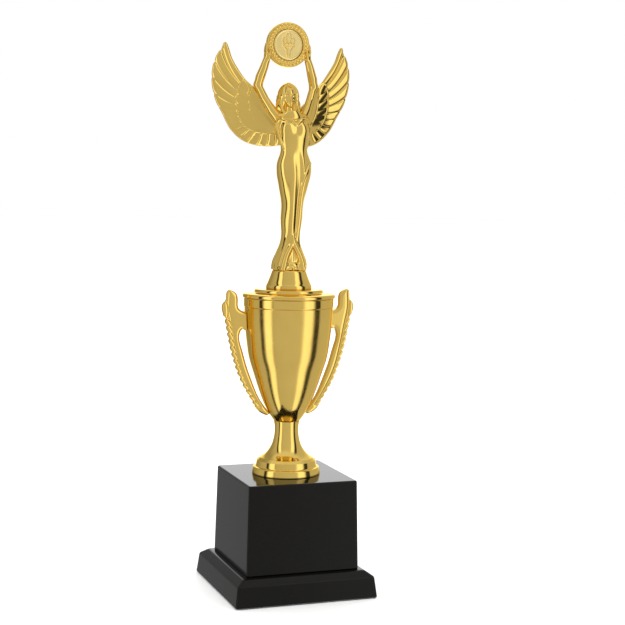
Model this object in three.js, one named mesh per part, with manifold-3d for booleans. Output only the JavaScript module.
// A cup trophy, in millimetres, +Z up, front towards -Y, standing on z = 0.
// A black two-step base carries a covered cup with two leaf handles. On the lid stands a winged
// figure that holds a medallion above its head.
import * as THREE from "three";
import { mergeVertices } from "three/addons/utils/BufferGeometryUtils.js";
import Module from "manifold-3d";

const wasm = await Module();
wasm.setup();

// ---------------------------------------------------------------- driving dimensions

const GAP = 0.3; // between pieces that are cut to fit each other
const ROUND = 36; // segments of the large round pieces
const FINE = 16; // segments of the small round pieces

const SKIRT = {
  bottom: 120, shoulder: 116, ledge: 100.5,
  low: 0.8, bevel: 17.4, top: 22.2, wall: 3, plate: 3,
};
const BLOCK = { bottom: 95.2, top: 92, low: 22.2, high: 95, wall: 3 };
const PAD = { radius: 6, height: 3, offset: 46, post: 7 };

const ROD = { radius: 3, hole: 3.4, low: 9, high: 154 };
const ROD_NUT = { flats: 10, height: 5 };
const ROD_WASHER = { radius: 9, height: 1.6 };

const FOOT = { radius: 27.8, low: 95, lip: 24.2, waist: 9.9, high: 139.3 };
const BOWL = { low: 139.3, floor: 146, band: 233.8, rim: 241.2, radius: 36.6, wall: 1.3 };
const BAND = { outer: 37.1, inner: 36 };
const HANDLE = { thickness: 5.6, pegZ: 222, pegRadius: 1.4, pegEnd: 32.4 };
const RETAINER = { outer: 4, height: 0.6, face: 33.8 };

const LID = {
  radius: 38, low: 241.2, flange: 244.8, step: 28.2, high: 248.4,
  plug: 34.3, plugLow: 233, wall: 2,
};
const BOLT = { radius: 2.5, hole: 2.8, headFlats: 8, headHeight: 3.5, seat: 245.2, high: 260 };
const PEDESTAL = { low: 248.4, radius: 18.8, lip: 252, top: 14.1, high: 263.8, nutSeat: 252.2 };
const CAPTIVE_NUT = { flats: 8, height: 4 };

const FIGURE = { hem: 263.8, neckline: 386, headZ: 405.5 };
const MEDALLION = {
  z: 447.3, y: 12, radius: 18.3, insert: 12.5,
  thickness: 5, web: 1.6, insertHeight: 1.2,
};
const WING = { thickness: 2.6, rootY: 5, sweep: Math.atan(0.38), lean: Math.atan(0.12), pivotZ: 415 };

// ---------------------------------------------------------------- materials

const gold = (roughness) => new THREE.MeshStandardMaterial({ color: 0xd6aa45, roughness, metalness: 1 });
const black = () => new THREE.MeshStandardMaterial({ color: 0x15130f, roughness: 0.12, metalness: 0 });
const steel = () => new THREE.MeshStandardMaterial({ color: 0xa8a9ab, roughness: 0.35, metalness: 1 });
const rubber = () => new THREE.MeshStandardMaterial({ color: 0x2a2a2a, roughness: 0.9, metalness: 0 });
const polishedGold = () => gold(0.15);
const satinGold = () => gold(0.32);

// ---------------------------------------------------------------- solids

// A closed geometry as a solid that can be joined and cut.
function toSolid(geometry) {
  const bare = new THREE.BufferGeometry();
  bare.setAttribute("position", geometry.getAttribute("position"));
  bare.setIndex(geometry.index);
  const merged = mergeVertices(bare, 1e-4);
  const corners = merged.index.array;
  const kept = [];
  for (let i = 0; i < corners.length; i += 3) {
    const [a, b, c] = corners.slice(i, i + 3);
    if (a !== b && b !== c && c !== a) kept.push(a, b, c);
  }
  const mesh = new wasm.Mesh({
    numProp: 3,
    vertProperties: new Float32Array(merged.attributes.position.array),
    triVerts: new Uint32Array(kept),
  });
  return new wasm.Manifold(mesh);
}

// A solid as a geometry that a mesh can show.
function toGeometry(solid) {
  const mesh = solid.getMesh();
  const geometry = new THREE.BufferGeometry();
  geometry.setAttribute("position", new THREE.BufferAttribute(mesh.vertProperties, 3));
  geometry.setIndex(new THREE.BufferAttribute(mesh.triVerts, 1));
  geometry.computeVertexNormals();
  return geometry;
}

const join = (solids) => solids.reduce((whole, solid) => whole.add(solid));

// A solid turned about Z from [radius, height] corners, listed upwards on the outside.
function turned(corners, segments = ROUND) {
  const points = corners.map(([radius, height]) => new THREE.Vector2(radius, height));
  return toSolid(new THREE.LatheGeometry(points, segments).rotateX(Math.PI / 2));
}

// A four-sided solid from [width, height] corners, listed upwards on the outside.
function squareTurned(corners) {
  const points = corners.map(([width, height]) => new THREE.Vector2(width / Math.SQRT2, height));
  const geometry = new THREE.LatheGeometry(points, 4, Math.PI / 4);
  return toSolid(geometry.rotateX(Math.PI / 2));
}

// An upright cylinder, or a hexagonal prism with six segments.
function post(radius, low, high, segments = FINE, x = 0, y = 0) {
  const geometry = new THREE.CylinderGeometry(radius, radius, high - low, segments);
  return toSolid(geometry.rotateX(Math.PI / 2).translate(x, y, (low + high) / 2));
}

// A round bar along X.
function crossBar(radius, from, to, z) {
  const geometry = new THREE.CylinderGeometry(radius, radius, Math.abs(to - from), FINE);
  return toSolid(geometry.rotateZ(Math.PI / 2).translate((from + to) / 2, 0, z));
}

// An outline in the XZ plane, pulled out to a plate that is centred on the plane.
function plate(outline, thickness) {
  const options = { depth: thickness, bevelEnabled: false, curveSegments: 3 };
  const geometry = new THREE.ExtrudeGeometry(outline, options);
  return toSolid(geometry.translate(0, 0, -thickness / 2).rotateX(Math.PI / 2));
}

// A tapered limb with round ends between two places.
function limb(from, to, fromRadius, toRadius) {
  const along = to.clone().sub(from);
  const upright = new THREE.Vector3(0, 1, 0);
  const tilt = new THREE.Quaternion().setFromUnitVectors(upright, along.clone().normalize());
  const middle = from.clone().add(to).multiplyScalar(0.5);
  const shaft = new THREE.CylinderGeometry(toRadius, fromRadius, along.length(), 12);
  shaft.applyQuaternion(tilt).translate(middle.x, middle.y, middle.z);
  return join([toSolid(shaft), ball(from, fromRadius), ball(to, toRadius)]);
}

// A sphere, or an ellipsoid when it is given three radii.
function ball(centre, radius, radii = [radius, radius, radius]) {
  const geometry = new THREE.SphereGeometry(1, 12, 7);
  return toSolid(geometry.scale(...radii).translate(centre.x, centre.y, centre.z));
}

function nut(flats, hole, low, high) {
  return post(flats / Math.sqrt(3), low, high, 6).subtract(post(hole, low - 1, high + 1));
}

// One of the two nuts that clamp the tie rod.
function rodNut(low) {
  return nut(ROD_NUT.flats, ROD.radius + 0.05, low, low + ROD_NUT.height);
}

function washer(outer, hole, low, high) {
  return post(outer, low, high).subtract(post(hole, low - 1, high + 1));
}

const mirrored = (solid) => solid.mirror([1, 0, 0]);

// ---------------------------------------------------------------- base

// The lower step: a shell open below, with a corner post over each pad.
function baseSkirt() {
  const { bottom, shoulder, ledge, low, bevel, top, wall, plate: thick } = SKIRT;
  const outside = squareTurned([[0, low], [bottom, low], [shoulder, bevel], [ledge, top], [0, top]]);
  const inside = squareTurned([
    [0, low - 1],
    [bottom - 2 * wall, low - 1],
    [shoulder - 2 * wall, bevel - wall],
    [ledge, top - thick],
    [0, top - thick],
  ]);
  const posts = padPlaces().map(([x, y]) => post(PAD.post, PAD.height, top - thick + 0.5, FINE, x, y));
  return join([outside.subtract(inside), ...posts]).subtract(post(ROD.hole, low, top + 1));
}

// The upper step: a tapered shell open below.
function baseBlock() {
  const { bottom, top, low, high, wall } = BLOCK;
  const outside = squareTurned([[0, low], [bottom, low], [top, high], [0, high]]);
  const inside = squareTurned([
    [0, low - 1],
    [bottom - 2 * wall, low - 1],
    [top - 2 * wall, high - wall],
    [0, high - wall],
  ]);
  return outside.subtract(inside).subtract(post(ROD.hole, high - 2 * wall, high + 1));
}

function padPlaces() {
  const { offset } = PAD;
  return [[-offset, -offset], [offset, -offset], [offset, offset], [-offset, offset]];
}

// ---------------------------------------------------------------- cup

// Foot and stem in one piece, hollow under the foot.
function cupFoot() {
  const { radius, low, lip, waist, high } = FOOT;
  const outside = turned([
    [0, low], [radius, low], [radius, low + 3.5], [radius - 1.2, low + 6.5], [lip + 0.6, low + 10.5],
    [lip, low + 12.4], [21.8, 109], [15, 114.3], [12.1, 119.4], [10.6, 124.4],
    [waist, 130], [waist, 134], [10.9, high], [0, high],
  ]);
  const hollow = turned([[0, low - 1], [radius - 3, low - 1], [radius - 4, low + 6], [0, low + 16]]);
  return outside.subtract(hollow).subtract(post(ROD.hole, low, high + 1));
}

// The bowl's side, from its root on the stem to the band.
function bowlSide(grow = 0) {
  const corners = [
    [10.9, BOWL.low], [13.6, 143], [21.9, 159.6], [28.7, 179.6],
    [32.2, 191], [34.4, 204.6], [35.8, 217], [BOWL.radius, BOWL.band],
  ];
  const places = corners.map(([radius, z]) => new THREE.Vector2(radius + grow, z));
  const spline = new THREE.SplineCurve(places);
  return spline.getPoints(11).map((point) => [point.x, point.y]);
}

function cupBowl() {
  const { low, floor, band, rim, wall } = BOWL;
  const neck = BAND.inner - GAP;
  const outside = turned([[0, low], ...bowlSide(), [neck, band], [neck, rim], [0, rim]]);
  const side = bowlSide(-wall).filter(([, z]) => z > floor + 2);
  const mouth = neck - 1.1;
  const throat = [[mouth, band], [mouth, rim + 1], [0, rim + 1]];
  const inside = turned([[0, floor], [12.4, floor], ...side, ...throat]);
  const bore = post(ROD.hole, low - 1, floor + 1);
  const pegHoles = crossBar(HANDLE.pegRadius + GAP, -BOWL.radius - 2, BOWL.radius + 2, HANDLE.pegZ);
  return outside.subtract(inside).subtract(bore).subtract(pegHoles);
}

function rimBand() {
  const { band, rim } = BOWL;
  const { outer, inner } = BAND;
  return turned([
    [inner, band], [outer - 0.4, band], [outer, band + 0.8], [outer, rim - 0.8],
    [outer - 0.4, rim], [inner, rim], [inner, band],
  ]);
}

// A smooth blade with a scalloped leaf border, on an arm at the top and a tail at the bottom.
function handleOutline() {
  const outline = new THREE.Shape();
  outline.moveTo(15.5, 143);
  outline.splineThru(points([[24, 147.4], [36.4, 166], [46.4, 189.5], [51.6, 209], [53.4, 221]]));
  outline.splineThru(points([[56.2, 229.5], [56.9, 233.6], [55.6, 237.4]]));
  outline.splineThru(points([[53.4, 239.5], [53.6, 243.6], [51.1, 248.2]]));
  outline.splineThru(points([[46.2, 245.6], [44, 241], [43.9, 234]]));
  outline.splineThru(points([[42.4, 231.3], [38.5, 229.8], [34, 229]]));
  outline.lineTo(34, 215);
  outline.splineThru(points([[38.6, 216], [41.4, 215], [41.9, 211]]));
  outline.splineThru(points([[40, 200], [36, 186.5], [30.2, 171], [24.6, 159], [18, 149.5], [14, 146]]));
  outline.closePath();
  return outline;
}

function points(corners) {
  return corners.map(([x, y]) => new THREE.Vector2(x, y));
}

// The right handle, with the peg that goes through the bowl's wall.
function handle() {
  const bowl = turned([[0, BOWL.low - 9], [11, BOWL.low - 9], ...bowlSide(GAP), [0, BOWL.band]]);
  const blade = plate(handleOutline(), HANDLE.thickness).subtract(bowl);
  return blade.add(crossBar(HANDLE.pegRadius, HANDLE.pegEnd, BOWL.radius + 3, HANDLE.pegZ));
}

// The push-on ring that holds a handle's peg inside the bowl.
function retainer() {
  const { outer, height, face } = RETAINER;
  const ring = crossBar(outer, face - height, face, HANDLE.pegZ);
  return ring.subtract(crossBar(HANDLE.pegRadius + 0.05, face - height - 1, face + 1, HANDLE.pegZ));
}

// ---------------------------------------------------------------- lid

function lid() {
  const { radius, low, flange, step, high, plug, plugLow, wall } = LID;
  return turned([
    [BOLT.hole, high - wall], [step - 3, high - wall], [step - 1.4, low + 1.4], [plug - 1.5, low],
    [plug - 1.5, plugLow], [plug, plugLow], [plug, low], [radius - 0.4, low],
    [radius, low + 0.4], [radius, flange - 0.8], [radius - 0.8, flange], [step + 0.4, flange],
    [step, flange + 0.4], [step - 0.3, high - 0.7], [step - 1, high], [BOLT.hole, high],
    [BOLT.hole, high - wall],
  ]);
}

function figureBolt() {
  const { radius, headFlats, headHeight, seat, high } = BOLT;
  const head = post(headFlats / Math.sqrt(3), seat - headHeight, seat, 6);
  return head.add(post(radius, seat - 1, high));
}

// ---------------------------------------------------------------- figure

function pedestal() {
  const { low, radius, lip, top, high, nutSeat } = PEDESTAL;
  const outside = turned([
    [0, low], [radius, low], [radius, lip - 1], [radius - 0.6, lip],
    [17, lip + 3], [15.4, lip + 7], [top, lip + 10.6], [top, high], [0, high],
  ]);
  const hollow = turned([[0, low - 1], [radius - 2, low - 1], [radius - 2, low + 2.4], [0, low + 2.4]]);
  const pocket = post(CAPTIVE_NUT.flats / Math.sqrt(3) + 0.2, low, nutSeat + CAPTIVE_NUT.height);
  return outside.subtract(hollow).subtract(pocket).subtract(post(BOLT.hole, low, high - 1.8));
}

// How far the standing figure sways from the axis at a height: hips forward, shoulders back.
function sway(z) {
  const hips = Math.exp(-(((z - 349) / 30) ** 2));
  return { x: 0.9 * hips, y: -5.5 * hips };
}

// The gown, from the flared hem to the neckline, as an oval turned shape that follows the sway.
function gown(grow) {
  const corners = [
    [14.2, 263.8], [14.3, 269], [12, 276], [8.8, 285], [7.6, 294], [8.7, 308], [10.2, 325],
    [13.6, 340], [14.3, 348], [11, 361], [12.6, 373], [12.8, 382], [10.5, FIGURE.neckline],
  ];
  const spline = new THREE.SplineCurve(points(corners));
  const side = spline.getPoints(20).map((point) => new THREE.Vector2(point.x + grow, point.y));
  const bottom = new THREE.Vector2(0, FIGURE.hem);
  const top = new THREE.Vector2(0, FIGURE.neckline + grow);
  const profile = [bottom, ...side, top];
  const geometry = new THREE.LatheGeometry(profile, FINE).rotateX(Math.PI / 2);
  return toSolid(follow(geometry, 0.78));
}

// Flattens a geometry front to back, then moves each level by the sway.
function follow(geometry, depth) {
  const places = geometry.getAttribute("position");
  for (let i = 0; i < places.count; i += 1) {
    const z = places.getZ(i);
    const offset = sway(z);
    places.setXYZ(i, places.getX(i) + offset.x, places.getY(i) * depth + offset.y, z);
  }
  return geometry;
}

const place = (x, y, z) => new THREE.Vector3(x, y, z);

// Gown, chest, neck, head and long hair.
function figureBody(grow = 0) {
  const { headZ } = FIGURE;
  return join([
    gown(grow),
    ball(place(0, 0, 387), 0, [13 + grow, 7 + grow, 6 + grow]),
    limb(place(0, 0.5, 388), place(0, 1.5, 399), 4 + grow, 3.6 + grow),
    ball(place(0, 1.6, headZ), 0, [6.3 + grow, 7.6 + grow, 8.9 + grow]),
    ball(place(0, 3.6, 399), 0, [9.6 + grow, 6 + grow, 13 + grow]),
  ]);
}

// The right arm's joints, from the shoulder out to the elbow and in to the hand on the medallion.
const ARM_JOINTS = [
  { at: place(11, 2.2, 387), radius: 5 },
  { at: place(23, 13, 414), radius: 3.6 },
  { at: place(18.3, 12.4, 432), radius: 3.1 },
  { at: place(18.7, 12, 445.6), radius: 2 },
];

function armLimbs(grow = 0) {
  const limbs = ARM_JOINTS.slice(1).map((end, i) => {
    const start = ARM_JOINTS[i];
    return limb(start.at, end.at, start.radius + grow, end.radius + grow);
  });
  return join(limbs);
}

function arm() {
  return armLimbs().subtract(figureBody(GAP)).subtract(medallionBlank(MEDALLION.radius + GAP));
}

// The right wing's outline, seen from the front, before it is swept back.
function wingOutline() {
  const outline = new THREE.Shape();
  outline.moveTo(5, 366);
  outline.splineThru(points([[13, 364.6], [22, 364.9], [32, 367.6], [41, 374.5], [47, 382], [50, 389]]));
  outline.splineThru(points([[54, 395], [58.4, 404], [60.9, 412.5], [61.6, 419]]));
  outline.splineThru(points([[61.4, 426], [59.4, 434.5], [56, 442], [51.8, 448.2]]));
  outline.splineThru(points([[49, 444], [45.5, 435.5], [40, 426], [34, 418.6], [25, 411]]));
  outline.splineThru(points([[15, 396], [8, 384], [5, 372]]));
  outline.closePath();
  return outline;
}

// The right wing, swept back from its root and leaning forward at the top.
function wing() {
  const { thickness, rootY, sweep, lean, pivotZ } = WING;
  const flat = plate(wingOutline(), thickness).translate([0, 0, -pivotZ]);
  const turn = THREE.MathUtils.radToDeg;
  const angled = flat.rotate([turn(lean), 0, 0]).rotate([0, 0, turn(sweep)]);
  const posed = angled.translate([0, rootY, pivotZ]);
  const root = limb(place(4.6, 4, 382), place(8, 10, 382), 4, 4);
  return posed.add(root).subtract(figureBody(GAP)).subtract(armLimbs(GAP));
}

// Turns a solid that was made about Z so that its axis points to the front, at the medallion's centre.
function facing(solid) {
  return solid.rotate([90, 0, 0]).translate([0, MEDALLION.y, MEDALLION.z]);
}

function medallionBlank(radius) {
  const half = MEDALLION.thickness / 2 + GAP;
  return facing(post(radius, -half, half, ROUND));
}

// A crowned rim round a thin web, with a recess for an insert on each side.
function medallionRing() {
  const { radius, insert, thickness, web } = MEDALLION;
  const recess = insert + 0.2;
  const half = thickness / 2;
  return facing(turned([
    [0, -web / 2], [recess, -web / 2], [recess, -half], [radius - 1.2, -half], [radius, -half + 1.2],
    [radius, half - 1.2], [radius - 1.2, half], [recess, half], [recess, web / 2], [0, web / 2],
  ]));
}

function insertDisc(side) {
  const { insert, web, insertHeight } = MEDALLION;
  const near = side * (web / 2);
  const far = side * (web / 2 + insertHeight);
  return facing(post(insert, Math.min(near, far), Math.max(near, far), ROUND));
}

// ---------------------------------------------------------------- assembly

const trophy = new THREE.Group();

function addTo(group, name, solid, material) {
  const mesh = new THREE.Mesh(toGeometry(solid), material);
  mesh.name = name;
  group.add(mesh);
}

const base = new THREE.Group();
addTo(base, "base_skirt", baseSkirt(), black());
addTo(base, "base_block", baseBlock(), black());
padPlaces().forEach(([x, y], i) => {
  addTo(base, `foot_pad_${i + 1}`, post(PAD.radius, 0, PAD.height, FINE, x, y), rubber());
});

const plateUnder = SKIRT.top - SKIRT.plate;
const lowNutTop = plateUnder - ROD_WASHER.height;
const highNutLow = BOWL.floor + ROD_WASHER.height;
addTo(base, "tie_rod", post(ROD.radius, ROD.low, ROD.high), steel());
addTo(base, "lower_washer", washer(ROD_WASHER.radius, ROD.hole, lowNutTop, plateUnder), steel());
addTo(base, "lower_nut", rodNut(lowNutTop - ROD_NUT.height), steel());

const cup = new THREE.Group();
addTo(cup, "cup_foot", cupFoot(), polishedGold());
addTo(cup, "cup_bowl", cupBowl(), satinGold());
addTo(cup, "rim_band", rimBand(), polishedGold());
addTo(cup, "upper_washer", washer(ROD_WASHER.radius, ROD.hole, BOWL.floor, highNutLow), steel());
addTo(cup, "upper_nut", rodNut(highNutLow), steel());
addTo(cup, "right_handle", handle(), polishedGold());
addTo(cup, "left_handle", mirrored(handle()), polishedGold());
addTo(cup, "right_retainer", retainer(), steel());
addTo(cup, "left_retainer", mirrored(retainer()), steel());

const cover = new THREE.Group();
const lidUnder = LID.high - LID.wall;
addTo(cover, "lid", lid(), polishedGold());
addTo(cover, "figure_bolt", figureBolt(), steel());
addTo(cover, "bolt_washer", washer(6, BOLT.hole, BOLT.seat, lidUnder), steel());

const figure = new THREE.Group();
const nutTop = PEDESTAL.nutSeat + CAPTIVE_NUT.height;
addTo(figure, "figure_pedestal", pedestal(), polishedGold());
const captive = nut(CAPTIVE_NUT.flats, BOLT.radius + 0.05, PEDESTAL.nutSeat, nutTop);
addTo(figure, "captive_nut", captive, steel());
addTo(figure, "figure_body", figureBody(), polishedGold());
addTo(figure, "right_arm", arm(), polishedGold());
addTo(figure, "left_arm", mirrored(arm()), polishedGold());
addTo(figure, "right_wing", wing(), polishedGold());
addTo(figure, "left_wing", mirrored(wing()), polishedGold());
addTo(figure, "medallion_ring", medallionRing(), polishedGold());
addTo(figure, "front_insert", insertDisc(1), satinGold());
addTo(figure, "back_insert", insertDisc(-1), satinGold());

cover.add(figure);
trophy.add(base, cup, cover);

export default trophy;
